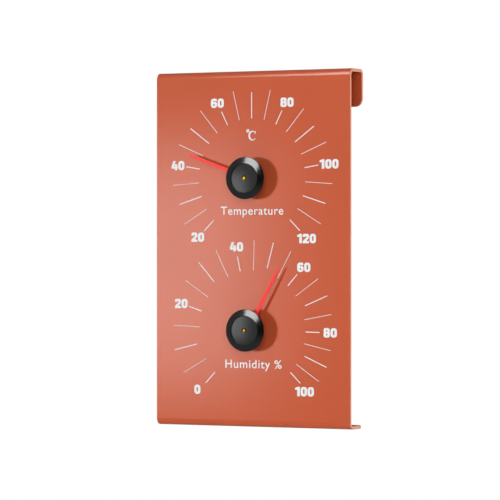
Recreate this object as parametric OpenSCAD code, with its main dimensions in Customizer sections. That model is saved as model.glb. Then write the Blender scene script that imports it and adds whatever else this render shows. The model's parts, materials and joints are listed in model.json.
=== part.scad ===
// Wall thermo-hygrometer: a bent sheet-metal dial plate with two pointer gauges.
// Millimetres. +X is right as the dials are read, +Y points to the wall, +Z is up.
// The origin is the middle of the keyhole, on the face of the lip that meets the wall.

/* [Plate] */
// Width of the plate
plate_w = 134; // [110:1:180]
// Height over both folds
plate_h = 220; // [200:1:280]
// Thickness of the coated sheet
sheet_t = 2; // [1.5:0.1:3]
// Outer radius of the two folds beside the dial side
fold_r = 4.2; // [3.2:0.1:6]
// Outer radius of the fold above the lip
rear_fold_r = 3.3; // [3.2:0.1:6]
// Depth from the dial side to the wall
plate_depth = 18.6; // [16:0.1:30]
// Height of the lip behind the top fold
lip_h = 22.9; // [20:0.1:30]
// Radius of the lip's lower corners
lip_corner_r = 5; // [2:0.5:6]
// Radius of the bottom flange's rear corners
flange_corner_r = 4.3; // [2:0.1:6]

/* [Keyhole] */
// Distance from the plate's top down to the middle of the round part
keyhole_drop = 16; // [15:0.5:18]
// Radius of the round part, which passes a screw head
keyhole_r = 4; // [3:0.1:4.2]
// Width of the slot, which holds the screw's neck
keyhole_slot_w = 4.2; // [3:0.1:5]
// Rise from the round part's middle to the slot's upper end
keyhole_rise = 7.5; // [6:0.1:8]

/* [Gauges] */
// Distance from the plate's top down to the thermometer's axis
thermo_drop = 66.5; // [60:0.1:75]
// Distance from the plate's top down to the hygrometer's axis
hygro_drop = 160.2; // [150:0.1:165]
// Temperature shown, in degrees Celsius
thermo_reading = 44; // [20:0.1:120]
// Relative humidity shown, in per cent
hygro_reading = 55.1; // [0:0.1:100]

/* [Pointer] */
// Reach of the pointer from the axis to its tip
pointer_reach = 43.5; // [38:0.5:46]
// Width of the pointer where it leaves the cap
pointer_root_w = 2.2; // [1.6:0.1:3]
// Width of the pointer at its rounded tip
pointer_tip_w = 1.2; // [0.8:0.1:1.6]
// Height of the pointer's rear face in front of the plate
pointer_stand = 5; // [4.6:0.1:5.2]

/* [Cap] */
// Radius of the cap's rim
cap_r = 13; // [12.5:0.1:15]
// Height of the cap's flat back in front of the plate
cap_stand = 9; // [8.8:0.1:10]
// Thickness of the rim
cap_rim_t = 0.8; // [0.5:0.1:1.2]
// Height of the ring's inner edge in front of the plate
cap_front = 11; // [10.8:0.1:12]
// Outer radius of the skirt that hides the coil
skirt_r = 11; // [10.9:0.1:11.5]
// Radius of the grey face disc
disc_r = 9.1; // [8:0.1:9.5]
// Radius of the spindle's tip, the dot in the disc
tip_r = 1; // [0.8:0.1:1.1]

/* [Coils] */
// Turns of the bimetal strip
bimetal_turns = 5; // [3:1:6]
// Thickness of the bimetal strip
bimetal_t = 0.35; // [0.2:0.05:0.4]
// Turns of the humidity strip
humidity_turns = 6; // [3:1:7]
// Thickness of the humidity strip
humidity_t = 0.25; // [0.2:0.05:0.3]
// Width of both strips, measured along the axis
strip_w = 2.1; // [1.5:0.1:2.2]

/* [Hidden] */

$fn = 96;
cut = 1;                      // how far a cutting shape runs past what it cuts
run_fit = 0.05;               // radial clearance of a running fit
end_play = 0.1;               // axial gap between pieces that turn on each other
press_gap = 0.02;             // keeps a pressed piece just clear of its seat

plate_top = keyhole_drop;
plate_bottom = plate_top - plate_h;
thermo_z = plate_top - thermo_drop;
hygro_z = plate_top - hygro_drop;

// Scale angles, clockwise from straight up. The scale sweeps 270 degrees.
sweep = 270;
scale_start = -sweep / 2;
thermo_low = 20;
thermo_span = 100;
hygro_share = hygro_reading / 100;
// The humidity marks draw closer together towards the wet end.
hygro_bow = 0.2;
hygro_skew = 0.04;
hygro_bent = hygro_share * (1 + (1 - hygro_share) * (hygro_bow + hygro_skew * hygro_share));
thermo_angle = scale_start + sweep * (thermo_reading - thermo_low) / thermo_span;
hygro_angle = scale_start + sweep * hygro_bent;

// Along a gauge's axis, heights are measured forward from the dial side of the plate.
fibre_t = 0.5;
bush_flange_top = 1.7;
bush_flange_r = 5;
bush_r = 3;
bush_bore_r = 1.6;
washer_r = 6;
washer_t = 0.8;
nut_t = 2.5;
nut_flats = 10;
bush_rear = -6;
hole_r = bush_r + run_fit;

journal_r = bush_bore_r - run_fit;
shoulder_low = bush_flange_top + end_play;
shoulder_top = 2.4;
shoulder_r = 2.6;
hub_journal_r = 1.5;
collet_seat_r = 1.2;
tip_top = 10.9;
tip_dome = 0.3;
groove_r = 1.1;
clip_t = 0.4;
friction_t = 0.4;
friction_top = bush_rear - end_play;
clip_top = friction_top - friction_t;
spindle_rear = -8.2;
driver_slot_w = 0.6;
driver_slot_d = 0.8;

thrust_t = 0.3;
hub_low = shoulder_top + thrust_t + end_play;
hub_r = 3;
hub_flange_r = 4.6;
hub_flange_t = 0.7;
hub_neck_r = 2.4;
pointer_t = 0.5;
arm_low = pointer_stand + pointer_t;
arm_t = 0.5;
hub_top = arm_low + arm_t;
pointer_ring_r = 4.6;
pointer_tail = 8.6;
pointer_tail_w = 2.6;

collet_low = hub_top + end_play;
collet_r = 2.2;
collet_slot_w = 0.5;
coil_low = collet_low + 0.5;
peg_radius = 9.1;
peg_r = 0.45;
arm_w = 1.6;
arm_ring_r = 4;
coil_gap = 0.1;
coil_step = 12;

skirt_low = 6.4;
skirt_t = 0.6;
disc_seat = cap_stand + 0.9;
disc_t = 0.7;                 // at its middle
disc_crown = 0.2;             // how far its middle stands above its edge
crown_steps = 8;
recess_r = disc_r + run_fit;
edge_break = 0.15;

// Places children on a gauge's axis: local z runs forward from the plate, local y is up.
module on_axis(z) {
    translate([0, -plate_depth, z])
        rotate([90, 0, 0])
            children();
}

// The same shape on both gauges
module on_both_axes() {
    on_axis(thermo_z) children();
    on_axis(hygro_z) children();
}

module ring(outer, inner, low, high) {
    translate([0, 0, low])
        difference() {
            cylinder(r = outer, h = high - low);
            translate([0, 0, -cut]) cylinder(r = inner, h = high - low + 2 * cut);
        }
}

module disc(radius, low, high) {
    translate([0, 0, low]) cylinder(r = radius, h = high - low);
}

// A quarter turn of the sheet's cross-section, in the quadrant that the two signs give
module fold_quarter(outer_r, side_y, side_z) {
    intersection() {
        difference() {
            circle(r = outer_r);
            circle(r = outer_r - sheet_t);
        }
        translate([side_y > 0 ? 0 : -outer_r, side_z > 0 ? 0 : -outer_r])
            square(outer_r);
    }
}

// Cross-section of the bent sheet: x is depth towards the wall, y is height
module sheet_section() {
    front = -plate_depth;
    translate([front, plate_bottom + fold_r])
        square([sheet_t, plate_h - 2 * fold_r]);
    translate([front + fold_r, plate_top - fold_r]) fold_quarter(fold_r, -1, 1);
    translate([front + fold_r, plate_top - sheet_t])
        square([plate_depth - fold_r - rear_fold_r, sheet_t]);
    translate([-rear_fold_r, plate_top - rear_fold_r]) fold_quarter(rear_fold_r, 1, 1);
    translate([-sheet_t, plate_top - lip_h])
        square([sheet_t, lip_h - rear_fold_r]);
    translate([front + fold_r, plate_bottom + fold_r]) fold_quarter(fold_r, -1, -1);
    translate([front + fold_r, plate_bottom])
        square([plate_depth - fold_r, sheet_t]);
}

// What is cut away to round one corner: a square less its rounded part, on the side that the signs give
module corner_waste(radius, side_x, side_y, thickness) {
    waste = radius + cut;
    difference() {
        translate([side_x > 0 ? 0 : -waste, side_y > 0 ? 0 : -waste, 0])
            cube([waste, waste, thickness]);
        translate([0, 0, -cut]) cylinder(r = radius, h = thickness + 2 * cut);
    }
}

module keyhole() {
    rotate([90, 0, 0])
        translate([0, 0, -cut]) {
            cylinder(r = keyhole_r, h = sheet_t + 2 * cut);
            translate([-keyhole_slot_w / 2, 0, 0])
                cube([keyhole_slot_w, keyhole_rise, sheet_t + 2 * cut]);
            translate([0, keyhole_rise, 0])
                cylinder(d = keyhole_slot_w, h = sheet_t + 2 * cut);
        }
}

module dial_plate() {
    color("#c76142")
    difference() {
        translate([-plate_w / 2, 0, 0])
            rotate([90, 0, 90])
                linear_extrude(plate_w) sheet_section();
        for (side = [-1, 1]) {
            // Lower corners of the lip
            translate([side * (plate_w / 2 - lip_corner_r), cut, plate_top - lip_h + lip_corner_r])
                rotate([90, 0, 0])
                    corner_waste(lip_corner_r, side, -1, sheet_t + 2 * cut);
            // Rear corners of the bottom flange
            translate([side * (plate_w / 2 - flange_corner_r), -flange_corner_r, plate_bottom - cut])
                corner_waste(flange_corner_r, side, 1, sheet_t + 2 * cut);
        }
        keyhole();
        on_both_axes() disc(hole_r, -sheet_t - cut, cut);
    }
}

module front_washers() {
    color("#2b2622") on_both_axes() ring(washer_r - 0.5, hole_r, 0, fibre_t);
}

module rear_washers() {
    color("#b9bcc0") on_both_axes() ring(washer_r, hole_r, -sheet_t - washer_t, -sheet_t);
}

module bush_nuts() {
    nut_low = -sheet_t - washer_t - nut_t;
    color("#c8a24a")
    on_both_axes()
        difference() {
            translate([0, 0, nut_low])
                cylinder(r = nut_flats / sqrt(3), h = nut_t, $fn = 6);
            disc(bush_r, nut_low - cut, nut_low + nut_t + cut);
        }
}

module mounting_bush() {
    color("#c8a24a")
    difference() {
        union() {
            disc(bush_flange_r, fibre_t, bush_flange_top);
            disc(bush_r, bush_rear, fibre_t);
        }
        disc(bush_bore_r, bush_rear - cut, bush_flange_top + cut);
    }
}

module spindle() {
    clip_low = clip_top - clip_t;
    color("#f5b014")
    difference() {
        rotate_extrude()
            polygon([
                [0, spindle_rear],
                [journal_r - edge_break, spindle_rear],
                [journal_r, spindle_rear + edge_break],
                [journal_r, clip_low],
                [groove_r, clip_low],
                [groove_r, clip_top],
                [journal_r, clip_top],
                [journal_r, shoulder_low],
                [shoulder_r, shoulder_low],
                [shoulder_r, shoulder_top],
                [hub_journal_r, shoulder_top],
                [hub_journal_r, hub_top],
                [collet_seat_r, hub_top],
                [collet_seat_r, cap_stand],
                [tip_r, cap_stand],
                [tip_r, tip_top - tip_dome],
                [tip_r - tip_dome, tip_top],
                [0, tip_top]
            ]);
        translate([-journal_r - cut, -driver_slot_w / 2, spindle_rear - cut])
            cube([2 * (journal_r + cut), driver_slot_w, driver_slot_d + cut]);
    }
}

module thrust_washer() {
    color("#e8e4d8") ring(shoulder_r, hub_journal_r, shoulder_top, shoulder_top + thrust_t);
}

module friction_washer() {
    color("#b9bcc0") ring(shoulder_r, journal_r, clip_top, friction_top);
}

// A flat clip with one open side, pushed into the groove
module retaining_clip() {
    clip_low = clip_top - clip_t;
    mouth_w = 1.6 * groove_r;
    color("#6d7075")
    difference() {
        ring(shoulder_r + 0.3, groove_r, clip_low, clip_top);
        translate([-mouth_w / 2, -shoulder_r - cut, clip_low - cut])
            cube([mouth_w, shoulder_r + cut, clip_t + 2 * cut]);
    }
}

module pointer_hub() {
    flange_low = pointer_stand - hub_flange_t;
    color("#c8a24a")
    difference() {
        union() {
            disc(hub_r, hub_low, flange_low);
            disc(hub_flange_r, flange_low, pointer_stand);
            disc(hub_neck_r, pointer_stand, hub_top);
        }
        disc(hub_journal_r + run_fit, hub_low - cut, hub_top + cut);
    }
}

// A long taper with a rounded tip, a ring round the hub and a short tail under the cap
module pointer() {
    tip_y = pointer_reach - pointer_tip_w / 2;
    tail_y = pointer_tail - pointer_tail_w / 2;
    // The taper is carried on inward from the cap's edge to the axis.
    root_w = pointer_tip_w + (pointer_root_w - pointer_tip_w) * tip_y / (tip_y - cap_r);
    color("#e8383a")
    translate([0, 0, pointer_stand])
        linear_extrude(pointer_t)
            difference() {
                union() {
                    circle(r = pointer_ring_r);
                    polygon([
                        [-root_w / 2, 0], [root_w / 2, 0],
                        [pointer_tip_w / 2, tip_y], [-pointer_tip_w / 2, tip_y]
                    ]);
                    translate([0, tip_y]) circle(d = pointer_tip_w);
                    translate([-pointer_tail_w / 2, -tail_y]) square([pointer_tail_w, tail_y]);
                    translate([0, -tail_y]) circle(d = pointer_tail_w);
                }
                circle(r = hub_neck_r);
            }
}

// A ring on the hub's neck and an arm with a peg for the coil's outer end
module coil_arm() {
    color("#b9bcc0") {
        translate([0, 0, arm_low])
            linear_extrude(arm_t)
                difference() {
                    union() {
                        circle(r = arm_ring_r);
                        translate([0, -arm_w / 2]) square([peg_radius, arm_w]);
                        translate([peg_radius, 0]) circle(d = arm_w);
                    }
                    circle(r = hub_neck_r);
                }
        translate([peg_radius, 0, 0]) disc(peg_r, arm_low, coil_low + strip_w);
    }
}

module coil_collet() {
    color("#c8a24a")
    difference() {
        ring(collet_r, collet_seat_r + press_gap, collet_low, cap_stand);
        translate([collet_seat_r + 0.2, -collet_slot_w / 2, coil_low - 0.3])
            cube([collet_r, collet_slot_w, cap_stand]);
    }
}

// A flat spiral of strip. Its inner end is a tang in the collet's slot, its outer end lies at the peg.
module coil(turns, strip_t) {
    inner = collet_r + coil_gap + strip_t / 2;
    outer = peg_radius - peg_r - coil_gap - strip_t / 2;
    steps = round(turns * 360 / coil_step);
    function reach(i) = inner + (outer - inner) * i / steps;
    function place(r, i) = [r * cos(i * coil_step), r * sin(i * coil_step)];
    half = strip_t / 2;
    tang_end = collet_seat_r + 0.3;
    translate([0, 0, coil_low])
        linear_extrude(strip_w)
            polygon(concat(
                [[tang_end, -half], [tang_end, half], [inner - half, half]],
                [for (i = [1 : steps]) place(reach(i) - half, i)],
                [for (i = [steps : -1 : 0]) place(reach(i) + half, i)],
                [[inner + half, -half]]
            ));
}

module cap() {
    color("#141414")
    rotate_extrude()
        polygon([
            [tip_r, cap_stand],
            [skirt_r - skirt_t, cap_stand],
            [skirt_r - skirt_t, skirt_low],
            [skirt_r, skirt_low],
            [skirt_r, cap_stand],
            [cap_r - edge_break, cap_stand],
            [cap_r, cap_stand + edge_break],
            [cap_r, cap_stand + cap_rim_t],
            [recess_r, cap_front],
            [recess_r, disc_seat],
            [tip_r, disc_seat]
        ]);
}

// A thin disc whose front is slightly domed
module face_disc() {
    bore_r = tip_r + run_fit;
    function crown_reach(i) = bore_r + (disc_r - bore_r) * i / crown_steps;
    function crown_height(r) = disc_seat + disc_t - disc_crown * pow(r / disc_r, 2);
    color("#4d4d4d")
    rotate_extrude()
        polygon(concat(
            [[bore_r, disc_seat]],
            [for (i = [0 : crown_steps]) [crown_reach(i), crown_height(crown_reach(i))]],
            [[disc_r, disc_seat]]
        ));
}

// Clockwise turn, as seen from in front, of the pieces that swing with the pointer
module thermo_swing() {
    on_axis(thermo_z) rotate([0, 0, -thermo_angle]) children();
}

module hygro_swing() {
    on_axis(hygro_z) rotate([0, 0, -hygro_angle]) children();
}

module thermo_mounting_bush() { on_axis(thermo_z) mounting_bush(); }
module thermo_spindle() { on_axis(thermo_z) spindle(); }
module thermo_thrust_washer() { on_axis(thermo_z) thrust_washer(); }
module thermo_friction_washer() { on_axis(thermo_z) friction_washer(); }
module thermo_retaining_clip() { on_axis(thermo_z) retaining_clip(); }
module thermo_pointer_hub() { thermo_swing() pointer_hub(); }
module thermo_pointer() { thermo_swing() pointer(); }
module thermo_coil_arm() { thermo_swing() coil_arm(); }
module thermo_coil_collet() { thermo_swing() coil_collet(); }
module thermo_bimetal_coil() { color("#9aa0a6") thermo_swing() coil(bimetal_turns, bimetal_t); }
module thermo_cap() { on_axis(thermo_z) cap(); }
module thermo_face_disc() { on_axis(thermo_z) face_disc(); }

module hygro_mounting_bush() { on_axis(hygro_z) mounting_bush(); }
module hygro_spindle() { on_axis(hygro_z) spindle(); }
module hygro_thrust_washer() { on_axis(hygro_z) thrust_washer(); }
module hygro_friction_washer() { on_axis(hygro_z) friction_washer(); }
module hygro_retaining_clip() { on_axis(hygro_z) retaining_clip(); }
module hygro_pointer_hub() { hygro_swing() pointer_hub(); }
module hygro_pointer() { hygro_swing() pointer(); }
module hygro_coil_arm() { hygro_swing() coil_arm(); }
module hygro_coil_collet() { hygro_swing() coil_collet(); }
module hygro_humidity_coil() { color("#c9b48a") hygro_swing() coil(humidity_turns, humidity_t); }
module hygro_cap() { on_axis(hygro_z) cap(); }
module hygro_face_disc() { on_axis(hygro_z) face_disc(); }

dial_plate();
front_washers();
rear_washers();
bush_nuts();
thermo_mounting_bush();
thermo_spindle();
thermo_thrust_washer();
thermo_friction_washer();
thermo_retaining_clip();
thermo_pointer_hub();
thermo_pointer();
thermo_coil_arm();
thermo_coil_collet();
thermo_bimetal_coil();
thermo_cap();
thermo_face_disc();
hygro_mounting_bush();
hygro_spindle();
hygro_thrust_washer();
hygro_friction_washer();
hygro_retaining_clip();
hygro_pointer_hub();
hygro_pointer();
hygro_coil_arm();
hygro_coil_collet();
hygro_humidity_coil();
hygro_cap();
hygro_face_disc();
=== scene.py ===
import json
import math

import bmesh
import bpy
from mathutils import Matrix, Vector


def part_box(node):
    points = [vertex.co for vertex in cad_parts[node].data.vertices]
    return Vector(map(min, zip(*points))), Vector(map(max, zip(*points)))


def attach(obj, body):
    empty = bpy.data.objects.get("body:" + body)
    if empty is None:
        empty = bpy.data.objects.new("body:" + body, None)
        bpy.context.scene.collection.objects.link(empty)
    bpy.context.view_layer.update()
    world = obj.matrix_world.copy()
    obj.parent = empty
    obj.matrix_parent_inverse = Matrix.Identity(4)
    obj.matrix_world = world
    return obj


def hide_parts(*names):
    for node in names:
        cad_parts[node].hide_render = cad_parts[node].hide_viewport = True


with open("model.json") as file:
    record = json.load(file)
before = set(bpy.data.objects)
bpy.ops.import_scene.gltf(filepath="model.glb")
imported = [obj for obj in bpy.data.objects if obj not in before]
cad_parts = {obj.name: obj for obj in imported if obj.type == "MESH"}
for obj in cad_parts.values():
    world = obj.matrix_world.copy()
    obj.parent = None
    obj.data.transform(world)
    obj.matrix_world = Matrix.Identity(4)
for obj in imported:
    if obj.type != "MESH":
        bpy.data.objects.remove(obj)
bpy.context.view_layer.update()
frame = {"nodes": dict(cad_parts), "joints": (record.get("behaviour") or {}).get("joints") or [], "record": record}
print("frame loaded with", len(frame["nodes"]), "CAD nodes")

mm = 0.001
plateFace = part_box("dial_plate")[0].y  # the dial side of the plate
gaugeHeight = {
    joint["name"].split("_")[0]: joint["pos_m"][2]
    for joint in frame["joints"]
    if joint["name"].endswith("_adjuster")
}


class Wire:  # a node's output; arithmetic on it adds Math nodes
    def __init__(self, recipe, socket):
        self.recipe = recipe
        self.socket = socket

    def math(self, operation, *values):
        return self.recipe.node("ShaderNodeMath", {"operation": operation}, dict(enumerate(values)))

    def __add__(self, other):
        return self.math("ADD", self, other)

    def __sub__(self, other):
        return self.math("SUBTRACT", self, other)

    def __rsub__(self, other):
        return self.math("SUBTRACT", other, self)

    def __mul__(self, other):
        return self.math("MULTIPLY", self, other)

    def larger(self, other):
        return self.math("MAXIMUM", self, other)

    __radd__ = __add__
    __rmul__ = __mul__


class Recipe:  # one material or world, and the one way its nodes are made
    def __init__(self, owner):
        owner.use_nodes = True
        self.owner = owner
        self.tree = owner.node_tree
        self.tree.nodes.clear()

    def node(self, kind, settings=None, inputs=None, output=0):
        made = self.tree.nodes.new(kind)
        for key, value in (settings or {}).items():
            setattr(made, key, value)
        for key, value in (inputs or {}).items():
            if isinstance(value, Wire):
                self.tree.links.new(value.socket, made.inputs[key])
            else:
                made.inputs[key].default_value = value
        return Wire(self, made.outputs[output]) if made.outputs else made

    def place(self):
        return self.node("ShaderNodeTexCoord", output="Object")

    def noise(self, scale, detail, roughness=0.5, vector=None):
        return self.node("ShaderNodeTexNoise", None, {
            "Vector": vector or self.place(), "Scale": scale, "Detail": detail, "Roughness": roughness})

    def length(self, vector):
        return self.node("ShaderNodeVectorMath", {"operation": "LENGTH"}, {0: vector}, output="Value")

    def smoothStep(self, value, start, end):  # 0 up to the start and 1 from the end
        return self.node("ShaderNodeMapRange", {"interpolation_type": "SMOOTHSTEP"}, {
            "Value": value, "From Min": start, "From Max": end})

    def blend(self, factor, dark, light):
        return self.node("ShaderNodeMix", {"data_type": "RGBA"}, {
            "Factor": factor, 6: rgba(dark), 7: rgba(light)}, output=2)

    def spread(self, value, low, high):  # a 0 to 1 value onto another range
        return value * (high - low) + low

    def finish(self, surface):
        self.node("ShaderNodeOutputMaterial", None, {"Surface": surface})
        return self.owner


def rgba(colour):
    return (*colour, 1.0)


def newRecipe(name):
    return Recipe(bpy.data.materials.new(name))


def paint(recipe, colour, roughness, bump, bumpDepth, **more):
    inputs = {"Base Color": colour, "Roughness": roughness}
    inputs["Normal"] = recipe.node("ShaderNodeBump", None, {
        "Height": bump, "Strength": 1.0, "Distance": bumpDepth})
    inputs.update({key.replace("_", " "): value for key, value in more.items()})
    return recipe.finish(recipe.node("ShaderNodeBsdfPrincipled", None, inputs))


# In these settings a noise is its scale per metre, its detail and its roughness
coatLook = {
    "colour": (0.565, 0.099, 0.036),
    "patchiness": 0.08,  # how far its shade strays either way
    "drift": (22, 3.0, 0.5),
    "grain": (2100, 2.0, 0.6),
    "peel": (520, 1.0, 0.5),
    "grainShare": 0.4,  # of the grain in the colour beside the drift, and in the bump beside the peel
    "roughness": (0.13, 0.155),
    "bumpDepth": 0.03 * mm,
    "ior": 1.5,
}


def powderCoat():
    look = coatLook
    recipe = newRecipe("terracottaCoat")
    drift = recipe.noise(*look["drift"])
    grain = recipe.noise(*look["grain"])
    peel = recipe.noise(*look["peel"])
    share = look["grainShare"]
    low = tuple(c * (1 - look["patchiness"]) for c in look["colour"])
    high = tuple(c * (1 + look["patchiness"]) for c in look["colour"])
    colour = recipe.blend(drift * (1 - share) + grain * share, low, high)
    bump = grain * share + peel * (1 - share)
    roughness = recipe.spread(grain, *look["roughness"])
    return paint(recipe, colour, roughness, bump, look["bumpDepth"], IOR=look["ior"])


inkLook = {
    "dark": (0.74, 0.79, 0.79),
    "light": (0.83, 0.88, 0.88),
    "grain": (3000, 2.0, 0.6),
    "roughness": 0.5,
    "bumpDepth": 0.01 * mm,
    "ior": 1.45,
}


def whiteInk():
    look = inkLook
    recipe = newRecipe("whiteInk")
    grain = recipe.noise(*look["grain"])
    colour = recipe.blend(grain, look["dark"], look["light"])
    return paint(recipe, colour, look["roughness"], grain, look["bumpDepth"], IOR=look["ior"])


redLook = {
    "dark": (0.88, 0.016, 0.016),
    "light": (0.95, 0.03, 0.028),
    "glow": (0.16, 0.0, 0.0),  # painted glow: the needle gives off a little red light of its own, so it stays bright in shade
    "grain": (1800, 3.0, 0.6),
    "roughness": (0.3, 0.42),
    "bumpDepth": 0.01 * mm,
    "ior": 1.5,
}


def redPaint():
    look = redLook
    recipe = newRecipe("brightRedPaint")
    grain = recipe.noise(*look["grain"])
    colour = recipe.blend(grain, look["dark"], look["light"])
    # the painted glow goes into the emission, so the needle lights itself
    return paint(recipe, colour, recipe.spread(grain, *look["roughness"]), grain, look["bumpDepth"],
                 Emission_Color=rgba(look["glow"]), Emission_Strength=1.0, IOR=look["ior"])


blackLook = {
    "dark": (0.002, 0.002, 0.0022),
    "light": (0.004, 0.004, 0.0045),
    "haze": (160, 3.0, 0.6),
    "dust": (5200, 1.0, 0.5),
    "roughness": (0.13, 0.19),
    "bumpDepth": 0.004 * mm,
    "ior": 1.66,
}


def blackGloss():
    look = blackLook
    recipe = newRecipe("polishedBlack")
    haze = recipe.noise(*look["haze"])
    dust = recipe.noise(*look["dust"])
    colour = recipe.blend(dust, look["dark"], look["light"])
    roughness = recipe.spread(haze, *look["roughness"])
    return paint(recipe, colour, roughness, haze, look["bumpDepth"], IOR=look["ior"])


turnedLook = {"detail": 3.0, "roughness": 0.65}


def turned(recipe, ringsPerMetre, gauge):  # fine rings about a gauge's axis
    centred = recipe.node("ShaderNodeMapping", None, {
        "Vector": recipe.place(), "Location": (0, 0, -gaugeHeight[gauge]), "Scale": (1, 0, 1)})
    outward = recipe.node("ShaderNodeCombineXYZ", None, {"X": recipe.length(centred) * ringsPerMetre})
    return recipe.noise(1.0, turnedLook["detail"], turnedLook["roughness"], outward)


greyLook = {
    "dark": (0.012, 0.012, 0.0123),
    "light": (0.017, 0.017, 0.0174),
    "ringsPerMetre": 5200,
    "grain": (4200, 2.0, 0.5),
    "grainShare": 0.5,  # of the grain in the bump beside the rings
    "roughness": (0.15, 0.19),
    "bumpDepth": 0.001 * mm,
    "ior": 1.42,
}


def greyDisc(gauge):
    look = greyLook
    recipe = newRecipe(gauge + "SpunGrey")
    rings = turned(recipe, look["ringsPerMetre"], gauge)
    grain = recipe.noise(*look["grain"])
    colour = recipe.blend(rings, look["dark"], look["light"])
    bump = rings * (1 - look["grainShare"]) + grain * look["grainShare"]
    roughness = recipe.spread(grain, *look["roughness"])
    return paint(recipe, colour, roughness, bump, look["bumpDepth"], IOR=look["ior"])


metalLook = {
    "tarnish": (260, 3.0, 0.6),
    "grain": (3800, 2.0, 0.5),
    "ringsPerMetre": 3400,  # on what is turned
    "bumpDepth": 0.008 * mm,
}


def metal(name, dark, light, roughness, gauge=None):
    look = metalLook
    recipe = newRecipe(name)
    tarnish = recipe.noise(*look["tarnish"])
    if gauge:
        marks = turned(recipe, look["ringsPerMetre"], gauge)
    else:
        marks = recipe.noise(*look["grain"])
    colour = recipe.blend(tarnish, dark, light)
    return paint(recipe, colour, recipe.spread(marks, *roughness), marks, look["bumpDepth"], Metallic=1.0)


plasticLook = {"grain": (2400, 3.0, 0.6), "bumpDepth": 0.015 * mm, "ior": 1.5}


def plastic(name, dark, light, roughness):
    look = plasticLook
    recipe = newRecipe(name)
    grain = recipe.noise(*look["grain"])
    colour = recipe.blend(grain, dark, light)
    return paint(recipe, colour, recipe.spread(grain, *roughness), grain, look["bumpDepth"],
                 IOR=look["ior"])


# Metals and plastics by their dark and light colour and their roughness
finishes = {
    "powder_coat": powderCoat(),
    "ink": whiteInk(),
    "red_paint": redPaint(),
    "black_gloss": blackGloss(),
    "brass": metal("plainBrass", (0.70, 0.50, 0.18), (0.85, 0.62, 0.24), (0.24, 0.4)),
    "steel": metal("zincSteel", (0.42, 0.43, 0.45), (0.62, 0.63, 0.65), (0.28, 0.42)),
    "bimetal": metal("rolledStrip", (0.40, 0.41, 0.43), (0.56, 0.56, 0.57), (0.25, 0.38)),
    "fibre": plastic("fibreBoard", (0.018, 0.015, 0.013), (0.035, 0.03, 0.026), (0.6, 0.75)),
    "white_plastic": plastic("nylon", (0.74, 0.72, 0.66), (0.84, 0.82, 0.76), (0.35, 0.5)),
    "humidity_strip": plastic("coatedStrip", (0.45, 0.33, 0.17), (0.62, 0.48, 0.28), (0.4, 0.55)),
}
for gauge in gaugeHeight:
    finishes["grey_disc_" + gauge] = greyDisc(gauge)
    finishes["brass_" + gauge] = metal(
        gauge + "TurnedBrass", (0.72, 0.50, 0.16), (0.88, 0.62, 0.20), (0.2, 0.34), gauge)
    finishes["tip_" + gauge] = metal(
        gauge + "GoldTip", (0.88, 0.42, 0.001), (0.99, 0.48, 0.002), (0.3, 0.45), gauge)
print("finishes made:", len(finishes))


def dress(piece, material):
    piece.data.materials.clear()
    piece.data.materials.append(material)


def keep(name, mesh, body, material, replaced=()):  # a finished mesh becomes a piece
    mesh.name = name
    piece = bpy.data.objects.new(name, mesh)
    bpy.context.scene.collection.objects.link(piece)
    dress(piece, material)
    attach(piece, body)
    if replaced:
        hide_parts(*replaced)
    return piece


def evenNormals(piece):  # large flat faces stay flat beside the rounded edges
    piece.data.shade_smooth()
    shading = piece.modifiers.new("evenNormals", "WEIGHTED_NORMAL")
    shading.mode = "FACE_AREA"
    shading.keep_sharp = True


def onGauge(gauge):  # x right, y up and z forward from the plate, about a gauge's axis, in millimetres
    turn = Matrix(((1, 0, 0), (0, 0, -1), (0, 1, 0))).to_4x4()
    return Matrix.Translation((0, plateFace, gaugeHeight[gauge])) @ turn @ Matrix.Scale(mm, 4)


# How a CAD node's copy is cleaned before its edges are rounded, with the angles in degrees
softening = {"weld": 0.002 * mm, "flatWithin": 0.5, "edgeFrom": 35}


def softened(node, width, segments):  # a CAD node's own shape with its edges rounded
    bm = bmesh.new()
    bm.from_mesh(frame["nodes"][node].data)
    bmesh.ops.remove_doubles(bm, verts=bm.verts, dist=softening["weld"])
    bmesh.ops.dissolve_limit(bm, angle_limit=math.radians(softening["flatWithin"]),
                             verts=bm.verts, edges=bm.edges)
    sharp = math.radians(softening["edgeFrom"])
    edges = [edge for edge in bm.edges if edge.is_manifold and edge.calc_face_angle() > sharp]
    bmesh.ops.bevel(bm, geom=edges, offset=width, offset_type="OFFSET", segments=segments, profile=0.5,
                    affect="EDGES", clamp_overlap=True, material=-1)
    mesh = bpy.data.meshes.new(node)
    bm.to_mesh(mesh)
    bm.free()
    return mesh


cornerSteps = 5
straightFrom = math.radians(89)  # half the angle at a corner from which it is left as a point


def rounded(corners):  # a closed outline from (x, y, radius) corners
    points = []
    for i, (x, y, radius) in enumerate(corners):
        here = Vector((x, y))
        before = Vector(corners[i - 1][:2]) - here
        after = Vector(corners[(i + 1) % len(corners)][:2]) - here
        half = before.angle(after) / 2
        if radius == 0 or half > straightFrom:
            points.append(here)
            continue
        reach = min(radius / math.tan(half), before.length / 2, after.length / 2)
        before.normalize()
        after.normalize()
        start = here + before * reach
        end = here + after * reach
        centre = here + (before + after).normalized() * (reach / math.cos(half))
        sweep = (start - centre).angle_signed(end - centre)
        for k in range(cornerSteps + 1):
            arm = start - centre
            arm.rotate(Matrix.Rotation(-sweep * k / cornerSteps, 2))
            points.append(centre + arm)
    return points


plateLook = {"edge": 0.18 * mm, "edgeSteps": 2}
plate = keep("coatedPlate", softened("dial_plate", plateLook["edge"], plateLook["edgeSteps"]),
             "plate", finishes["powder_coat"], ["dial_plate"])
evenNormals(plate)
print("plate:", len(plate.data.polygons), "faces")


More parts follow.
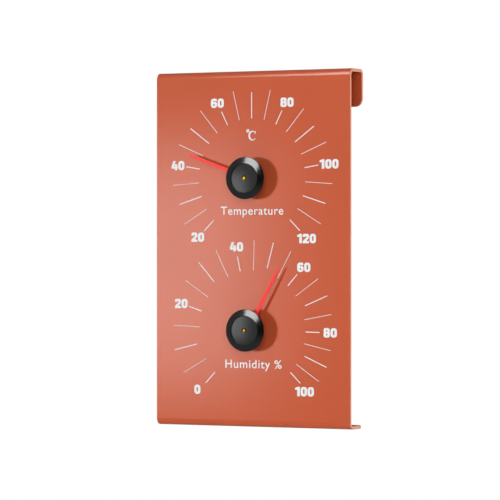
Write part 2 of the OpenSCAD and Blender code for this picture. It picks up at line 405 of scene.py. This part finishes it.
# The prints are in millimetres about a gauge's axis
scaleLook = {
    "inkHeight": 0.05,
    "inkRoot": 0.02,  # how far the ink reaches into the coat
    "inkWeld": 0.0005 * mm,
    "divisions": 20,
    "thin": 0.31,
    "thick": 0.53,
    # middle of the print, sweep and turn in degrees, how the marks draw closer together,
    # and the inner and outer radius of the marks at each 20, at each other 10 and between them
    "thermo": {"middle": (-0.2, 0.2), "sweep": 268.9, "turn": 0, "bow": 0, "skew": 0,
               "major": (36.9, 46.4), "middle10": (36.9, 53.0), "minor": (36.9, 55.4)},
    "hygro": {"middle": (0, 0.2), "sweep": 270, "turn": -0.85, "bow": 0.2135, "skew": 0.056,
              "major": (37.0, 46.4), "middle10": (39.5, 55.8), "minor": (36.7, 55.3)},
}
inkDepth = scaleLook["inkHeight"] + scaleLook["inkRoot"]
inkLift = scaleLook["inkHeight"] - inkDepth / 2  # the middle of the ink's depth


def markAngle(look, share):  # clockwise from straight up, in degrees
    bent = share * (1 + (1 - share) * (look["bow"] + look["skew"] * share))
    return look["sweep"] * (bent - 0.5) + look["turn"]


def printMarks(gauge):
    look = scaleLook[gauge]
    divisions = scaleLook["divisions"]
    bm = bmesh.new()
    for i in range(divisions + 1):
        kind = "major" if i % 4 == 0 else "middle10" if i % 2 == 0 else "minor"
        inner, outer = look[kind]
        width = scaleLook["thin"] if kind == "minor" else scaleLook["thick"]
        place = Matrix.Translation((*look["middle"], 0))
        place @= Matrix.Rotation(math.radians(-markAngle(look, i / divisions)), 4, "Z")
        place @= Matrix.Translation((0, (inner + outer) / 2, inkLift))
        place @= Matrix.Diagonal((width, outer - inner, inkDepth, 1))
        bmesh.ops.create_cube(bm, size=1, matrix=onGauge(gauge) @ place)
    mesh = bpy.data.meshes.new(gauge + "Marks")
    bm.to_mesh(mesh)
    bm.free()
    keep(gauge + "Marks", mesh, "plate", finishes["ink"])


for gauge in gaugeHeight:
    printMarks(gauge)


# Outlines of the figures: corners as x, y and rounding, the outside first and then the holes
figureShapes = {
    "0": [[(0, 0, 1.9), (4.4, 0, 1.9), (4.4, 6.2, 1.9), (0, 6.2, 1.9)],
          [(1.68, 1.6, 0.42), (2.72, 1.6, 0.42), (2.72, 4.6, 0.42), (1.68, 4.6, 0.42)]],
    "1": [[(1.6, 0, 0.25), (3.5, 0, 0.25), (3.5, 6.2, 0.25), (2.0, 6.2, 0.2), (0, 5.3, 0.2),
           (0.35, 4.0, 0.2), (1.6, 4.4, 0.1)]],
    "2": [[(0, 0, 0.25), (4.35, 0, 0.25), (4.35, 1.5, 0.25), (2.6, 1.5, 0.1), (4.3, 3.6, 0.9),
           (4.3, 6.2, 1.8), (0.1, 6.2, 1.8), (0.1, 4.15, 0.2), (1.8, 4.15, 0.1), (1.9, 4.75, 0.3),
           (2.6, 4.75, 0.3), (2.6, 3.9, 0.3), (0, 1.4, 0.4)]],
    "4": [[(0, 1.15, 0.25), (2.35, 1.15, 0.05), (2.35, 0, 0.25), (4.1, 0, 0.25), (4.1, 1.15, 0.05),
           (4.5, 1.15, 0.2), (4.5, 2.5, 0.2), (4.1, 2.5, 0.05), (4.1, 4.1, 0.25), (2.35, 4.1, 0.25),
           (2.35, 2.5, 0.05), (1.7, 2.5, 0.05), (3.05, 6.2, 0.25), (1.25, 6.2, 0.25), (0, 2.6, 0.3)]],
    "6": [[(0, 0, 1.9), (4.4, 0, 1.8), (4.4, 4.0, 1.5), (1.75, 4.0, 0.05), (1.75, 4.75, 0.35),
           (2.65, 4.75, 0.2), (2.65, 4.4, 0.05), (4.25, 4.4, 0.2), (4.25, 6.2, 1.6), (0, 6.2, 1.9)],
          [(1.72, 1.45, 0.4), (2.68, 1.45, 0.4), (2.68, 2.75, 0.4), (1.72, 2.75, 0.4)]],
    "8": [[(0, 0, 1.7), (4.4, 0, 1.7), (4.4, 2.9, 0.7), (4.05, 3.25, 0.2), (4.3, 3.6, 0.6),
           (4.3, 6.2, 1.7), (0.1, 6.2, 1.7), (0.1, 3.6, 0.6), (0.35, 3.25, 0.2), (0, 2.9, 0.7)],
          [(1.74, 1.35, 0.38), (2.66, 1.35, 0.38), (2.66, 2.55, 0.38), (1.74, 2.55, 0.38)],
          [(1.78, 3.75, 0.35), (2.62, 3.75, 0.35), (2.62, 4.85, 0.35), (1.78, 4.85, 0.35)]],
}
figureLook = {
    "widths": {"0": 4.4, "1": 3.6, "2": 4.4, "4": 4.5, "6": 4.4, "8": 4.4},
    "height": 6.2,
    "gap": 0.42,
    "stretch": (0.98, 0.94),  # the outlines are drawn a little large
}

# Where the middle of each figure stands on its dial
figurePlaces = {
    "thermo": {"20": (-37.9, -36.2), "40": (-51.9, 8.5), "60": (-24.1, 46.9), "80": (24.2, 46.5),
               "100": (52.8, 8.3), "120": (37.5, -37.2)},
    "hygro": {"0": (-38.2, -37.2), "20": (-49.6, 16.1), "40": (-10.7, 51.5), "60": (35.7, 38.9),
              "80": (53.6, -1.0), "100": (36.1, -37.2)},
}


def flatCurve(name, loops):
    curve = bpy.data.curves.new(name, "CURVE")
    curve.dimensions = "2D"
    curve.fill_mode = "BOTH"
    for loop in loops:
        spline = curve.splines.new("POLY")
        spline.points.add(len(loop) - 1)
        for point, (x, y) in zip(spline.points, loop):
            point.co = (x, y, 0, 1)
        spline.use_cyclic_u = True
    return curve


def pressInk(curve, name, place, span=None):  # a flat curve or text becomes a thin raised mesh
    curve.extrude = inkDepth / 2
    shape = bpy.data.objects.new(name, curve)
    bpy.context.scene.collection.objects.link(shape)
    bpy.context.view_layer.update()
    mesh = bpy.data.meshes.new_from_object(shape.evaluated_get(bpy.context.evaluated_depsgraph_get()))
    bpy.data.objects.remove(shape)
    bpy.data.curves.remove(curve)
    left = min(vert.co.x for vert in mesh.vertices)
    right = max(vert.co.x for vert in mesh.vertices)
    stretch = Matrix.Diagonal((span / (right - left) if span else 1, 1, 1, 1))
    lift = Matrix.Translation((0, 0, inkLift))
    mesh.transform(place @ lift @ stretch @ Matrix.Translation((-(left + right) / 2, 0, 0)))
    return mesh


def merged(name, meshes):
    bm = bmesh.new()
    for mesh in meshes:
        bm.from_mesh(mesh)
        bpy.data.meshes.remove(mesh)
    bmesh.ops.remove_doubles(bm, verts=bm.verts, dist=scaleLook["inkWeld"])
    bmesh.ops.recalc_face_normals(bm, faces=bm.faces)
    joined = bpy.data.meshes.new(name)
    bm.to_mesh(joined)
    bm.free()
    return joined


def printFigures(gauge):
    meshes = []
    toMiddle = Matrix.Translation((0, -figureLook["height"] / 2, 0))
    stretch = Matrix.Diagonal((*figureLook["stretch"], 1, 1))
    for label, (x, y) in figurePlaces[gauge].items():
        start = 0
        loops = []
        for sign in label:
            for corners in figureShapes[sign]:
                loops.append([(point.x + start, point.y) for point in rounded(corners)])
            start += figureLook["widths"][sign] + figureLook["gap"]
        place = onGauge(gauge) @ Matrix.Translation((x, y, 0)) @ stretch @ toMiddle
        meshes.append(pressInk(flatCurve(gauge + label, loops), gauge + label, place))
    keep(gauge + "Figures", merged(gauge + "Figures", meshes), "plate", finishes["ink"])


for gauge in gaugeHeight:
    printFigures(gauge)


wordLook = {
    # the middle of the baseline, the length of the word, and the letters
    "thermo": {"text": "Temperature", "middle": (0.0, -22.4), "span": 43.3, "size": 7.4},
    "hygro": {"text": "Humidity %", "middle": (1.0, -23.4), "span": 39.0, "size": 7.4},
    "weight": 0.006,
    "spacing": 1.1,
}


def printWord(gauge):
    look = wordLook[gauge]
    curve = bpy.data.curves.new(gauge + "Word", "FONT")
    curve.body = look["text"]
    curve.size = look["size"]
    curve.offset = wordLook["weight"] * look["size"]
    curve.space_character = wordLook["spacing"]
    place = onGauge(gauge) @ Matrix.Translation((*look["middle"], 0))
    mesh = pressInk(curve, gauge + "Word", place, look["span"])
    keep(gauge + "Word", merged(gauge + "Word", [mesh]), "plate", finishes["ink"])


for gauge in gaugeHeight:
    printWord(gauge)


unitLook = {
    "middle": (-0.65, 26.4),
    "ringPlace": (-3.1, 3.0),  # from the middle of the C
    "ringRadii": (1.05, 0.45),
    "ringTurn": (0, 345, 23),  # first and last angle, steps
    # arcs of the C: middle, radii, first and last angle, steps
    "outside": (0, 0, 2.7, 3.0, 40, 322, 36),
    "inside": (0.4, 0, 1.95, 2.42, 324, 52, 32),
    "serif": [(1.75, 1.2), (2.35, 1.2), (2.35, 2.95), (2.05, 2.95)],
}


def arc(cx, cy, rx, ry, start, end, steps):
    turns = [math.radians(start + (end - start) * k / steps) for k in range(steps + 1)]
    return [(cx + rx * math.cos(turn), cy + ry * math.sin(turn)) for turn in turns]


def printUnit():  # a degree ring and a C with a thick back and thin ends
    look = unitLook
    loops = [arc(*look["ringPlace"], radius, radius, *look["ringTurn"]) for radius in look["ringRadii"]]
    loops.append(arc(*look["outside"]) + arc(*look["inside"]) + look["serif"])
    place = onGauge("thermo") @ Matrix.Translation((*look["middle"], 0))
    mesh = pressInk(flatCurve("unit", loops), "unit", place)
    keep("unitSign", merged("unitSign", [mesh]), "plate", finishes["ink"])


printUnit()
print("scales printed")


# Outlines of the caps and discs, in millimetres: radius, height in front of the plate, rounding
capLook = {
    "back": [(1.0, 9.0, 0), (10.4, 9.0, 0.1), (10.4, 6.4, 0.05), (11.0, 6.4, 0.1), (11.0, 9.0, 0.1),
             (13.0, 9.0, 0.15)],
    "ring": [(13.0, 9.8, 0.3), (9.15, 11.0, 0.05)],
    "recess": [(9.15, 9.9, 0.03), (1.0, 9.9, 0)],
    "crown": 0.02,  # how far the ring bulges
    "crownAt": (0.25, 0.5, 0.75),
}
discLook = {
    "bore": 1.05,
    "radius": 9.1,
    "seat": 9.9,
    "middle": 10.6,
    "crown": 0.2,  # how far the front falls from the middle to the edge
    "edge": 0.1,
    "rings": 12,
}
spinLook = {"steps": 144, "weld": 0.0005}
needleLook = {"edge": 0.1 * mm, "edgeSteps": 2}


def spun(name, profile, gauge):
    bm = bmesh.new()
    verts = [bm.verts.new((x, 0, y)) for x, y in rounded(profile)]
    edges = [bm.edges.new((verts[i - 1], verts[i])) for i in range(len(verts))]
    bmesh.ops.spin(bm, geom=verts + edges, cent=(0, 0, 0), axis=(0, 0, 1), angle=2 * math.pi,
                   steps=spinLook["steps"], use_merge=True)
    bmesh.ops.remove_doubles(bm, verts=bm.verts, dist=spinLook["weld"])
    bmesh.ops.recalc_face_normals(bm, faces=bm.faces)
    bmesh.ops.transform(bm, matrix=onGauge(gauge), verts=bm.verts)
    mesh = bpy.data.meshes.new(name)
    bm.to_mesh(mesh)
    bm.free()
    return mesh


def capProfile():
    outer, inner = capLook["ring"]
    along = Vector(inner[:2]) - Vector(outer[:2])
    out = Vector((along.y, -along.x)).normalized()
    crowned = []
    for share in capLook["crownAt"]:
        point = Vector(outer[:2]) + along * share + out * (4 * capLook["crown"] * share * (1 - share))
        crowned.append((point.x, point.y, 0))
    return [*capLook["back"], outer, *crowned, inner, *capLook["recess"]]


def discProfile():  # flat at the back, slightly domed in front
    look = discLook
    profile = [(look["bore"], look["seat"], 0), (look["radius"], look["seat"], 0)]
    for k in range(look["rings"] + 1):
        radius = look["radius"] + (look["bore"] - look["radius"]) * k / look["rings"]
        height = look["middle"] - look["crown"] * (radius / look["radius"]) ** 2
        profile.append((radius, height, 0 if k else look["edge"]))
    return profile


for gauge in gaugeHeight:
    cap = keep(gauge + "BlackCap", spun(gauge + "BlackCap", capProfile(), gauge),
               gauge + "_arbor", finishes["black_gloss"], [gauge + "_cap"])
    evenNormals(cap)
    disc = keep(gauge + "GreyDisc", spun(gauge + "GreyDisc", discProfile(), gauge),
                gauge + "_arbor", finishes["grey_disc_" + gauge], [gauge + "_face_disc"])
    evenNormals(disc)
    pointer = softened(gauge + "_pointer", needleLook["edge"], needleLook["edgeSteps"])
    needle = keep(gauge + "RedPointer", pointer,
                  gauge + "_needle", finishes["red_paint"], [gauge + "_pointer"])
    evenNormals(needle)
print("caps, discs and pointers made")


# The smaller pieces keep the CAD shape
slotOf = {part["node"]: part["material_slot"] for part in frame["record"]["subparts"]}
for node, thing in frame["nodes"].items():
    if thing.hide_render:  # a piece above replaces it
        continue
    gauge = node.split("_")[0]
    if node.endswith("_spindle"):
        finish = finishes["tip_" + gauge]
    elif slotOf[node] == "brass" and gauge in gaugeHeight:
        finish = finishes["brass_" + gauge]
    else:
        finish = finishes[slotOf[node]]
    dress(thing, finish)
print("small pieces finished")


roomLook = {
    "floorHeight": -0.45,
    "floorRadius": 1.3,
    "floorFade": (0.25, 0.95),  # where the floor starts to fade and ends, of its radius
    "floorSides": 96,
    "floorColour": (0.86, 0.86, 0.86),
    "background": 1.0,
    "fill": 0.08,  # what the room gives to matt surfaces
    "surround": 0.27,  # what polished surfaces see to the left and below, in front of the object
    "behind": 0.1,  # and what they see behind it
    # the axis of the looking direction, and where along it each of these starts and is whole
    "backdrop": [("Y", -0.1, 0.25), ("Z", 0.3, 0.1), ("Z", -0.3, -0.1)],
    "left": ("X", 0.1, -0.35),
    "below": ("Z", -0.05, -0.4),
}


def makeWorld():
    world = bpy.data.worlds.new("studio")
    bpy.context.scene.world = world
    recipe = Recipe(world)
    way = recipe.node("ShaderNodeTexCoord", output="Generated")

    def ray(kind):
        return recipe.node("ShaderNodeLightPath", output=kind)

    def ramp(axis, start, end):
        along = recipe.node("ShaderNodeSeparateXYZ", None, {"Vector": way}, output=axis)
        return recipe.smoothStep(along, start, end)

    level, upper, lower = (ramp(*setting) for setting in roomLook["backdrop"])
    leftOrBelow = ramp(*roomLook["left"]).larger(ramp(*roomLook["below"]))
    gloss = recipe.spread(level * upper * lower, leftOrBelow * roomLook["surround"], roomLook["behind"])
    direct = ray("Is Camera Ray").larger(ray("Is Transmission Ray"))
    fill = roomLook["fill"]
    strength = direct * (roomLook["background"] - fill) + ray("Is Glossy Ray") * (gloss - fill) + fill
    background = recipe.node("ShaderNodeBackground", None, {"Color": (1, 1, 1, 1), "Strength": strength})
    recipe.node("ShaderNodeOutputWorld", None, {"Surface": background})


def makeFloor():
    recipe = newRecipe("paleFloor")
    level = recipe.node("ShaderNodeMapping", None, {"Vector": recipe.place(), "Scale": (1, 1, 0)})
    fade = [share * roomLook["floorRadius"] for share in roomLook["floorFade"]]
    edge = recipe.smoothStep(recipe.length(level), *fade)
    shiny = recipe.node("ShaderNodeLightPath", output="Is Glossy Ray")
    matt = recipe.node("ShaderNodeBsdfDiffuse", None, {"Color": rgba(roomLook["floorColour"])})
    clear = recipe.node("ShaderNodeBsdfTransparent", None, {"Color": (1, 1, 1, 1)})
    recipe.finish(recipe.node("ShaderNodeMixShader", None, {0: edge.larger(shiny), 1: matt, 2: clear}))
    bm = bmesh.new()
    bmesh.ops.create_circle(bm, cap_ends=True, segments=roomLook["floorSides"],
                            radius=roomLook["floorRadius"],
                            matrix=Matrix.Translation((0, 0, roomLook["floorHeight"])))
    mesh = bpy.data.meshes.new("floor")
    bm.to_mesh(mesh)
    bm.free()
    floor = bpy.data.objects.new("floor", mesh)
    bpy.context.scene.collection.objects.link(floor)
    dress(floor, recipe.owner)


aim = Vector((-1.3335, -18.6, -94.695)) * mm  # where the camera and the lamps point

lampLook = {
    # direction from the plate in degrees to the right and up, distance, width and height, and power.
    # A lamp for matt surfaces leaves no reflection, and one for gloss is seen only in reflections.
    "key": {"for": "matt", "from": (-24.6, 0), "distance": 2.4,
            "size": (0.12, 0.12), "power": 26.2},
    "cameraSide": {"for": "matt", "from": (26, 12), "distance": 1.6,
                   "size": (0.76, 0.93), "power": 11.2},
    "rightRim": {"for": "matt", "from": (100, 22), "distance": 1.5,
                 "size": (0.7, 1.0), "power": 14.8},
    "top": {"for": "matt", "from": (-20, 82), "distance": 1.5,
            "size": (1.0, 0.7), "power": 1.6},
    "glossBox": {"for": "gloss", "from": (-32.8, -0.9), "distance": 1.237,
                 "size": (0.258, 0.245), "power": 0.8},
    "glossPanel": {"for": "gloss", "from": (-13.1, 35.8), "distance": 1.6,
                   "size": (0.8, 1.3), "power": 27.7},
    "glossRim": {"for": "gloss", "from": (153, 0), "distance": 1.5,
                 "size": (0.7, 1.2), "power": 5.3, "tint": (1, 1, 0.8)},
}


def makeLamps():
    for name, look in lampLook.items():
        forGloss = look["for"] == "gloss"
        lamp = bpy.data.lights.new(name, "AREA")
        lamp.shape = "RECTANGLE"
        lamp.size, lamp.size_y = look["size"]
        lamp.energy = look["power"]
        lamp.color = look.get("tint", (1, 1, 1))
        lamp.cycles.use_multiple_importance_sampling = forGloss  # a matt lamp's reflection would leak in
        holder = bpy.data.objects.new(name, lamp)
        holder.visible_glossy = forGloss
        holder.visible_diffuse = not forGloss
        bpy.context.scene.collection.objects.link(holder)
        across, up = (math.radians(angle) for angle in look["from"])
        toward = Vector((math.sin(across) * math.cos(up), -math.cos(across) * math.cos(up), math.sin(up)))
        holder.location = aim + toward * look["distance"]
        holder.rotation_mode = "QUATERNION"
        holder.rotation_quaternion = toward.to_track_quat("Z", "Y")


cameraLook = {
    "place": Vector((877.974, -1732.815, -94.695)) * mm,
    "lens": 224.67,
    "sensor": 36,
    "clip": (0.05, 60),
}


def makeCamera():
    lens = bpy.data.cameras.new("camera")
    lens.lens = cameraLook["lens"]
    lens.sensor_width = cameraLook["sensor"]
    lens.clip_start, lens.clip_end = cameraLook["clip"]
    camera = bpy.data.objects.new("camera", lens)
    bpy.context.scene.collection.objects.link(camera)
    camera.location = cameraLook["place"]
    camera.rotation_mode = "QUATERNION"
    camera.rotation_quaternion = (aim - camera.location).to_track_quat("-Z", "Y")
    bpy.context.scene.camera = camera


makeWorld()
makeFloor()
makeLamps()
makeCamera()
bpy.context.scene.view_settings.view_transform = "Standard"
print("room, lamps and camera set")
